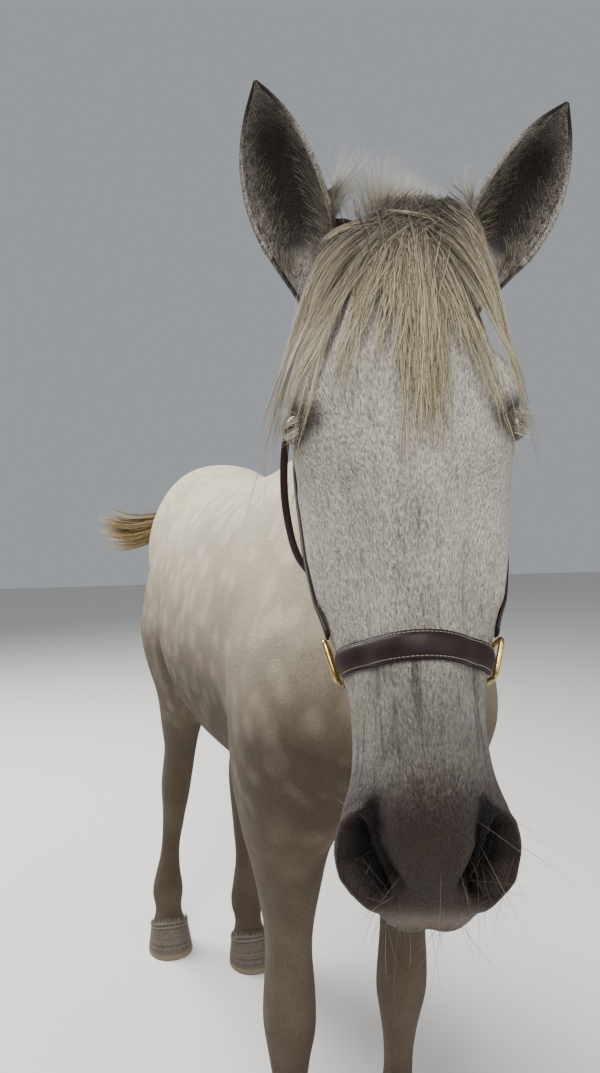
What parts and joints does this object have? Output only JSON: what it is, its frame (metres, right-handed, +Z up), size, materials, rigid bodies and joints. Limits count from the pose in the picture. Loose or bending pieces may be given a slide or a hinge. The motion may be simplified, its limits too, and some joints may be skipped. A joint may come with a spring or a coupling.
{
  "type": "percheron horse",
  "caption": "Life-size still model of a grey percheron horse standing square with its head turned, wearing a leather halter.",
  "frame": {"origin": "on the floor under the middle of the horse's bounding box", "axes": "+Z up, -Y towards the head, +X to the horse's left"},
  "size_m": [0.6758, 2.5662, 1.9704],
  "materials": {
    "coat": "short dapple-grey hair, cream hair in mane, forelock and tail",
    "hoof": "grey-brown horn",
    "eye": "dark and wet",
    "halter_leather": "dark burgundy-brown, oiled",
    "halter_brass": "polished"
  },
  "bodies": {
    "root": {"torso": "coat", "neck": "coat", "head": "coat", "tail": "coat", "ear_left": "coat", "ear_right": "coat", "foreleg_left": "coat", "foreleg_right": "coat", "hindleg_left": "coat", "hindleg_right": "coat", "hoof_fore_left": "hoof", "hoof_fore_right": "hoof", "hoof_hind_left": "hoof", "hoof_hind_right": "hoof", "eye_left": "eye", "eye_right": "eye", "halter_noseband": "halter_leather", "halter_chin": "halter_leather", "halter_headstall": "halter_leather", "halter_throat": "halter_leather", "halter_ring_left": "halter_brass", "halter_ring_right": "halter_brass"}
  },
  "joints": []
}
